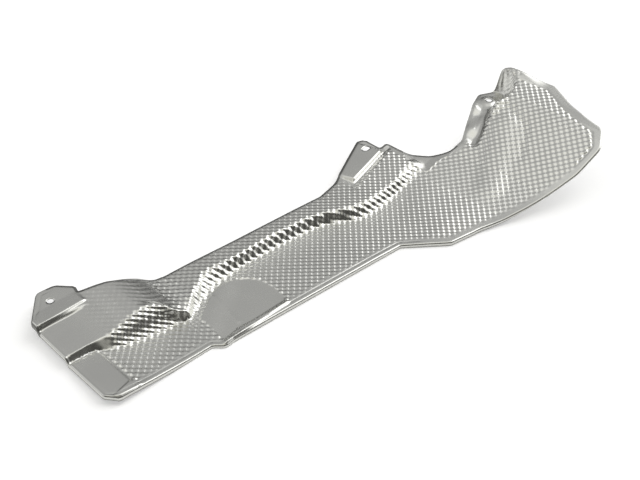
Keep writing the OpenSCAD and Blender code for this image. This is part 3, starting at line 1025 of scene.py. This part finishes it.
@dataclass
class ShieldPanel:
    """The heat shield itself."""

    form: SheetForm = field(default_factory=SheetForm)
    embossing: Embossing = field(default_factory=Embossing)
    holes: tuple[Hole, ...] = (
        Hole("left_hole", -316, 98, 8.2, 8.2),
        Hole("mid_slot", 165, 95, 8.0, 13.0, 15.0),
        Hole("right_hole", 339, 35, 8.2, 8.2))
    sheet_t: float = 0.9
    lip_h: float = 5.5
    dish_lip_h: float = 2.8
    dish_lip_x: Place = (150, 260)
    lip_smooth: int = 6
    floor_gap: float = 0.05
    bend_r: float = 2.4
    bend_angles: Span = (18, 36, 54, 72, 90)
    plain_drop: float = 0.15
    plain_lip: float = 0.6
    # Where the top faces of the plain far edge and of the tab's edge take the dark cut-edge finish: painted
    # shade, a dark line along those edges.
    painted_dark_lip: float = 0.5
    painted_dark_x: float = 250.0
    painted_dark_tab: Place = (-300, 62)
    border: float = 4.2
    border_rings: Span = (3.4,)
    cells_per_pitch: int = 4
    split_count: int = 8350

    def __post_init__(self) -> None:
        """Works out the outline and its distances."""
        points, on_lip = self.form.outline.points()
        self.edge = EdgeField(points, on_lip, list(self.holes))
        self.middle = (points.min(0) + points.max(0)) / 2.0

    def _net(self) -> CellNet:
        """The net of cells that covers the sheet, in rows along the embossing."""
        cell = self.embossing.pitch / self.cells_per_pitch
        a = math.radians(self.embossing.angle)
        points = self.edge.points - self.middle
        along_rows = np.stack([points[:, 0] * math.cos(a) + points[:, 1] * math.sin(a),
                               -points[:, 0] * math.sin(a) + points[:, 1] * math.cos(a)], axis=1) / cell
        low = 2 * (np.floor(along_rows.min(0) / 2).astype(int) - 1)
        count = np.ceil(along_rows.max(0)).astype(int) + 2 - low
        net = CellNet(self.middle, cell / 2, a, low, np.ones(tuple(count), bool))
        i, j = np.nonzero(net.kept)
        x, y = net.place(2 * i + 1, 2 * j + 1)
        net.kept = (self.edge.room(x, y, self.border) > 0.0).reshape(count)
        return net

    def _shape(self, x: Array, y: Array) -> tuple[Array, Array]:
        """Height and embossing share at places inside the outline.

        Args:
            x: the places' X.
            y: the places' Y.

        Returns:
            Heights and shares.
        """
        edge, _, _, lip = self.edge.nearest(x, y)
        z = self.form.height(x, y) + self.form.detail(x, y, edge, lip)
        return z, self.form.emboss_share(x, y, edge)

    def surface(self) -> SheetDraft:
        """The sheet's top as one open surface, and the faces of its underside.

        Returns:
            The draft, in the drawing frame.
        """
        net = self._net()
        steps = net.steps()
        x, y = net.place(*net.split_step(steps))
        z, share = self._shape(x, y)
        split = net.split_cells(steps, z, self.split_count)
        top = net.faces(net.leaves(split, merge=False))
        under = net.faces(net.leaves(split, merge=True))
        used = np.unique(np.concatenate([np.array(face) for face in top]))
        number = {int(step): k for k, step in enumerate(used)}
        keep = np.searchsorted(steps, used)
        x, y, z, share = x[keep], y[keep], z[keep], share[keep]
        draft = SheetDraft([], [], [[number[k] for k in face] for face in top],
                           [[number[k] for k in face] for face in under])
        loops = draft.loops()
        rim = np.array(loops[0])
        d, qx, qy, lip = self.edge.nearest(x[rim], y[rim])
        nx, ny = (x[rim] - qx) / d, (y[rim] - qy) / d
        x[rim], y[rim] = qx + nx * self.border, qy + ny * self.border
        for loop in loops[1:]:
            ids = np.array(loop)
            hole = min(self.holes, key=lambda h: math.hypot(h.x - x[ids].mean(), h.y - y[ids].mean()))
            x[ids], y[ids] = hole.on_wall(x[ids], y[ids])
            LOG.info("%s: %d points on its wall", hole.name, len(loop))
            draft.cut_loops.append((loop, loop))
        moved = np.concatenate([np.array(loop) for loop in loops])
        z[moved], share[moved] = self._shape(x[moved], y[moved])
        draft.points.append(np.stack([x, y, z], axis=1))
        draft.shares.append(share)
        reach = self.lip_smooth
        near = np.ones(2 * reach + 1) / (2 * reach + 1)
        lip = np.convolve(np.concatenate([lip[-reach:], lip, lip[:reach]]), near, mode="valid")
        self._add_border(draft, rim, np.stack([qx, qy], axis=1), np.stack([nx, ny], axis=1), lip)
        return draft

    def _own_level(self, at: Array, foot: Array, lip: Array) -> Array:
        """The form's height at places whose nearest points on the outline are known."""
        edge = np.hypot(*(at - foot).T)
        return self.form.height(*at.T) + self.form.detail(at[:, 0], at[:, 1], edge, lip)

    def _rings(self, foot: Array, inward: Array, lip: Array) -> list[Array]:
        """Rings of points from the net's edge to the sheet's cut edge, round the bend.

        Args:
            foot: the nearest points on the outline.
            inward: the directions inwards from them.
            lip: the share of the turned-down edge at each.

        Returns:
            The rings, first the ones before the bend.
        """
        radius = self.bend_r
        level = self.form.height(*(foot + inward * radius).T)
        lip_h = self.lip_h + (self.dish_lip_h - self.lip_h) * ramp(*self.dish_lip_x, foot[:, 0])
        full = np.minimum(lip_h, level - self.floor_gap)

        def lowered(at: Array, drop: Array) -> Array:
            """A ring lowered from the bend's level under a lip, and from the form's own elsewhere."""
            own = self._own_level(at, foot, lip)
            return np.column_stack([at, lip * level + (1 - lip) * own - drop])

        rings = []
        for inset in self.border_rings + (radius,):
            at = foot + inward * inset
            rings.append(np.column_stack([at, self._own_level(at, foot, lip)]))
        for angle in self.bend_angles:
            t = math.radians(angle)
            at = foot + inward * radius * (1 - math.sin(t))
            rings.append(lowered(at, lip * np.minimum(radius * (1 - math.cos(t)), full)))
        rings.append(lowered(foot, lip * full + (1 - lip) * self.plain_drop))
        return rings

    def _add_border(self, draft: SheetDraft, rim: Array, foot: Array, inward: Array, lip: Array) -> None:
        """Adds the rings between the net's edge and the sheet's cut edge.

        Args:
            draft: the draft to add to.
            rim: the points of the net's outer loop.
            foot: their nearest points on the outline.
            inward: the directions from the outline to them.
            lip: the share of the turned-down edge at each.
        """
        rings = self._rings(foot, inward, lip)
        flat = len(self.border_rings)
        plain = lip < self.plain_lip
        # Top faces marked here get the dark cut-edge finish: a painted dark line of shade along the far edge
        # and the tab.
        painted_dark_far = (lip < self.painted_dark_lip) & (foot[:, 0] < self.painted_dark_x)
        on_tab = (foot[:, 0] < self.painted_dark_tab[0]) & (foot[:, 1] > self.painted_dark_tab[1])
        last = under = even = rim
        for k, ring in enumerate(rings):
            start = sum(len(p) for p in draft.points)
            ids = np.arange(start, start + len(rim))
            draft.points.append(ring)
            draft.shares.append(np.zeros(len(rim)))
            if k >= flat:
                painted_dark_faces = painted_dark_far | (on_tab & (k > flat + 1))
                draft.painted_dark_faces += (len(draft.top) + np.nonzero(painted_dark_faces)[0]).tolist()
            draft.top += draft.band(last, ids)
            if k == flat:
                even = ids
            elif k > flat:
                draft.level.append((ids[plain], even[plain]))
            if k in (flat, flat + 2, flat + 4, len(rings) - 1):
                draft.under += draft.band(under, ids)
                under = ids
            last = ids
        draft.cut_loops.append((last.tolist(), under.tolist()))

    def build(self, materials: dict[Material, bpy.types.Material]) -> bpy.types.Object:
        """Makes the finished piece.

        Args:
            materials: the finish of each slot.

        Returns:
            The piece, as a plain mesh in the row frame.
        """
        draft = self.surface()
        spots = np.concatenate(draft.points)
        mesh = bpy.data.meshes.new("sheet_top")
        mesh.from_pydata(((spots - np.array([*self.middle, 0.0])) * MM).tolist(), [], draft.top)
        share = np.concatenate(draft.shares).astype(np.float32)
        mesh.attributes.new("emboss", "FLOAT", "POINT").data.foreach_set("value", share)
        turn = math.radians(self.embossing.angle)
        slide = self.form.slide(*spots.T)[:, None] * np.array([-math.sin(turn), math.cos(turn), 0.0]) * MM
        mesh.attributes.new("slide", "FLOAT_VECTOR", "POINT").data.foreach_set("vector", slide.ravel())
        mesh.polygons.foreach_set("use_smooth", [True] * len(mesh.polygons))
        mesh.update()
        sheet = bpy.data.objects.new("sheet_draft", mesh)
        bpy.context.scene.collection.objects.link(sheet)
        self.embossing.press(sheet, materials[Material.FACE])
        sheet = self._to_mesh(sheet, "sheet_top")
        top = np.empty(len(sheet.data.vertices) * 3, np.float32)
        normal = np.empty_like(top)
        sheet.data.vertices.foreach_get("co", top)
        sheet.data.vertices.foreach_get("normal", normal)
        bpy.data.objects.remove(sheet)
        top, normal = top.reshape(-1, 3), normal.reshape(-1, 3)
        for ids, even in draft.level:
            normal[ids] = normal[even]
        return self._close(draft, top, top - normal * self.sheet_t * MM, materials)

    def _close(self, draft: SheetDraft, top: Array, back: Array,
               materials: dict[Material, bpy.types.Material]) -> bpy.types.Object:
        """Joins the top, the underside and the cut edges into one closed mesh.

        Args:
            draft: the draft with all faces.
            top: the top's points.
            back: the underside's points, one for each of the top's.
            materials: the finish of each slot.

        Returns:
            The piece.
        """
        count = len(top)
        faces = list(draft.top)
        kinds = [Material.FACE.value] * len(draft.top)
        # These top faces get the dark cut-edge finish as painted shade.
        for k in draft.painted_dark_faces:
            kinds[k] = Material.CUT.value
        smooth = [True] * (len(draft.top) + len(draft.under))
        faces += [[k + count for k in reversed(face)] for face in draft.under]
        kinds += [Material.BACK.value] * len(draft.under)
        for upper, lower in draft.cut_loops:
            for k, a in enumerate(upper):
                b, c, d = upper[(k + 1) % len(upper)], lower[k] + count, lower[(k + 1) % len(upper)] + count
                faces.append([b, a, c, d])
                kinds.append(Material.CUT.value)
        used = np.unique(np.concatenate([np.array(face) for face in faces]))
        number = np.full(2 * count, -1)
        number[used] = np.arange(len(used))
        mesh = bpy.data.meshes.new("heat_shield_sheet")
        mesh.from_pydata(np.concatenate([top, back])[used].tolist(), [],
                         [[int(number[k]) for k in face] for face in faces])
        mesh.polygons.foreach_set("material_index", kinds)
        mesh.polygons.foreach_set("use_smooth", smooth + [False] * (len(faces) - len(smooth)))
        for kind in Material:
            mesh.materials.append(materials[kind])
        mesh.update()
        piece = bpy.data.objects.new("heat_shield_sheet", mesh)
        bpy.context.scene.collection.objects.link(piece)
        mesh.calc_loop_triangles()
        LOG.info("%s: %d faces, %d triangles", piece.name, len(mesh.polygons), len(mesh.loop_triangles))
        return piece

    @staticmethod
    def _to_mesh(source: bpy.types.Object, name: str) -> bpy.types.Object:
        """Turns an object with modifiers into a plain mesh and removes the source."""
        graph = bpy.context.evaluated_depsgraph_get()
        mesh = bpy.data.meshes.new_from_object(source.evaluated_get(graph))
        mesh.name = name
        made = bpy.data.objects.new(name, mesh)
        bpy.context.scene.collection.objects.link(made)
        bpy.data.objects.remove(source)
        return made


@dataclass(frozen=True)
class SkyBand:
    """Brightness of the studio's surroundings at one height: z is the sine of the elevation."""

    z: float
    level: float


@dataclass(frozen=True)
class Studio:
    """Pale floor, bright ceiling, grey far wall and a dark side behind the camera.

    The side panel is a bright disc at the camera's right, and the left glow a faint one at its
    left. Their edges are angles in degrees from the disc's middle: where it ends, and where it
    is full.
    """

    azimuth: float = -41.0
    floor_colour: Triple = (0.90, 0.90, 0.90)
    floor_glow: float = 0.34
    floor_half: float = 12.0
    far_wall: tuple[SkyBand, ...] = (
        SkyBand(0.0, 0.06), SkyBand(0.20, 0.10), SkyBand(0.36, 0.36), SkyBand(0.50, 0.53),
        SkyBand(0.82, 0.57), SkyBand(0.91, 0.82), SkyBand(0.97, 1.30))
    far_tint: Triple = (1.0, 1.0, 1.0)
    near_wall: tuple[SkyBand, ...] = (
        SkyBand(0.0, 0.50), SkyBand(0.25, 0.10), SkyBand(0.78, 0.06), SkyBand(0.92, 0.6), SkyBand(0.97, 1.30))
    near_tint: Triple = (1.0, 0.99, 0.92)
    wall_change: Place = (-0.25, 0.45)
    brightest: float = 2.4
    side_turn: float = 59.0
    side_elevation: float = 35.0
    side_edge: Place = (35, 29)
    side_level: float = 2.0
    side_cut: Place = (-0.08, 0.08)
    left_way: Place = (0.95, 0.30)
    left_edge: Place = (48, 30)
    left_level: float = 0.6

    def floor(self) -> None:
        """A wide pale floor, seen white and with the shield's soft shadow."""
        mesh = bpy.data.meshes.new("floor")
        r = self.floor_half
        mesh.from_pydata([(-r, -r, 0), (r, -r, 0), (r, r, 0), (-r, r, 0)], [], [(0, 1, 2, 3)])
        floor = bpy.data.objects.new("floor", mesh)
        bpy.context.scene.collection.objects.link(floor)
        made = bpy.data.materials.new("floor_white")
        b = NodeBuilder.emptied(made)
        plain = b.add("ShaderNodeBsdfDiffuse", {"Color": (*self.floor_colour, 1.0)})
        glow = b.add("ShaderNodeEmission", {"Strength": self.floor_glow})
        none = b.add("ShaderNodeEmission", {"Strength": 0.0})
        rays = b.add("ShaderNodeLightPath")
        seen = b.math("MAXIMUM", rays.outputs["Is Camera Ray"], rays.outputs["Is Glossy Ray"])
        seen = b.math("MAXIMUM", seen, rays.outputs["Is Transmission Ray"])
        lit = b.add("ShaderNodeMixShader", {0: seen, 1: none.outputs[0], 2: glow.outputs[0]})
        both = b.add("ShaderNodeAddShader", {0: plain.outputs[0], 1: lit.outputs[0]})
        b.add("ShaderNodeOutputMaterial", {"Surface": both.outputs[0]})
        floor.data.materials.append(made)

    def _bands(self, b: NodeBuilder, bands: tuple[SkyBand, ...], height: Socket,
               tint: Triple) -> Socket:
        """A ramp of brightness over the height of a direction."""
        node = b.add("ShaderNodeValToRGB", {0: height})
        stops = node.color_ramp.elements
        while len(stops) < len(bands):
            stops.new(1.0)
        for stop, band in zip(stops, bands):
            stop.position = band.z
            share = band.level / self.brightest
            stop.color = (*(share * c for c in tint), 1.0)
        return node.outputs[0]

    @staticmethod
    def _soft(b: NodeBuilder, value: Socket, low: float, high: float, most: float = 1.0) -> Socket:
        """Smooth change from 0 to most, while the value goes from low to high."""
        feeds = {"Value": value, "From Min": low, "From Max": high, "To Max": most}
        return b.add("ShaderNodeMapRange", feeds, interpolation_type="SMOOTHSTEP").outputs[0]

    def _disc(self, b: NodeBuilder, way: Socket, middle: Triple, edge: Place,
              level: float) -> Socket:
        """Brightness of a soft disc in the surroundings.

        Args:
            b: the world's nodes.
            way: the direction that is looked in.
            middle: the direction of the disc's middle.
            edge: the angles at which the disc ends and at which it is full, in degrees.
            level: its brightness.

        Returns:
            The brightness as a share of the brightest.
        """
        facing = b.add("ShaderNodeVectorMath", {0: way, 1: middle}, operation="DOT_PRODUCT")
        ends, full = (math.cos(math.radians(angle)) for angle in edge)
        return self._soft(b, facing.outputs["Value"], ends, full, level / self.brightest)

    def sky(self) -> None:
        """World light, graded by height and from the far side to the camera's side."""
        world = bpy.data.worlds.new("studio")
        bpy.context.scene.world = world
        b = NodeBuilder.emptied(world)
        way = b.add("ShaderNodeTexCoord").outputs["Generated"]
        apart = b.add("ShaderNodeSeparateXYZ", {0: way})
        a = math.radians(self.azimuth)
        ahead = b.math("ADD", b.math("MULTIPLY", apart.outputs[0], -math.sin(a)),
                       b.math("MULTIPLY", apart.outputs[1], math.cos(a)))
        walls = b.add("ShaderNodeMix", {
            0: self._soft(b, ahead, *self.wall_change),
            6: self._bands(b, self.near_wall, apart.outputs[2], self.near_tint),
            7: self._bands(b, self.far_wall, apart.outputs[2], self.far_tint)}, data_type="RGBA")
        side_a, side_e = a - math.radians(self.side_turn), math.radians(self.side_elevation)
        side_way = (-math.sin(side_a) * math.cos(side_e), math.cos(side_a) * math.cos(side_e),
                    math.sin(side_e))
        flat, up = self.left_way
        left_way = (-math.cos(a) * flat, -math.sin(a) * flat, up)
        left = self._disc(b, way, left_way, self.left_edge, self.left_level)
        side = b.math("MULTIPLY", self._disc(b, way, side_way, self.side_edge, self.side_level),
                      self._soft(b, ahead, *self.side_cut))
        light = b.add("ShaderNodeVectorMath", {0: walls.outputs[2], 1: b.math("ADD", left, side)},
                      operation="ADD")
        back = b.add("ShaderNodeBackground", {"Strength": self.brightest, "Color": light.outputs[0]})
        b.add("ShaderNodeOutputWorld", {"Surface": back.outputs[0]})

    def build(self) -> None:
        """Sets the whole studio up."""
        self.floor()
        self.sky()
        self.sky()


@dataclass(frozen=True)
class PhotoCamera:
    """Camera at the photograph's viewing angle."""

    azimuth: float = -41.0
    elevation: float = 38.0
    distance: float = 1.35
    focal_px: float = 1100.0
    picture_w: float = 640.0
    sensor: float = 36.0
    clip: Place = (0.05, 60)

    def build(self, target: Vector) -> None:
        """Places the camera.

        Args:
            target: the point at the picture's middle.
        """
        data = bpy.data.cameras.new("camera")
        data.sensor_width = self.sensor
        data.lens = self.focal_px / self.picture_w * self.sensor
        data.clip_start, data.clip_end = self.clip
        camera = bpy.data.objects.new("camera", data)
        a, e = math.radians(self.azimuth), math.radians(self.elevation)
        back = Vector((math.sin(a) * math.cos(e), -math.cos(a) * math.cos(e), math.sin(e)))
        camera.location = target + back * self.distance
        camera.rotation_mode = "QUATERNION"
        camera.rotation_quaternion = (-back).to_track_quat("-Z", "Y")
        bpy.context.scene.collection.objects.link(camera)
        bpy.context.scene.camera = camera


def main() -> None:
    """Builds the shield around its frame, with its studio and camera."""
    logging.basicConfig(level=logging.INFO, format="%(name)s: %(message)s")
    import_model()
    bpy.context.scene.view_settings.view_transform = "Standard"
    finishes = {
        Material.FACE: SheetMetal("embossed_face", (0.60, 0.60, 0.572), 0.26, grain=0.25, stain=0.12),
        Material.BACK: SheetMetal("embossed_back", (0.56, 0.56, 0.55), 0.34, grain=0.5, stain=0.16),
        # Cut-edge finish: its dark colour is partly the cut's own rougher tone and partly painted shade for
        # the dark outline. It also covers some top faces as a painted dark line.
        Material.CUT: SheetMetal("cut_edge_and_painted_shade", (0.20, 0.20, 0.19), 0.40, grain=0.8, stain=0.20),
    }
    wear_group = MetalWear().group()
    materials = {kind: finish.material(wear_group) for kind, finish in finishes.items()}
    panel = ShieldPanel()
    piece = panel.build(materials)
    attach(piece, "root")
    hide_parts(NODE)
    Studio().build()
    origin = Vector((-panel.middle[0] * MM, -panel.middle[1] * MM, 0.0))
    PhotoCamera().build(origin)


if __name__ == "__main__":
    main()
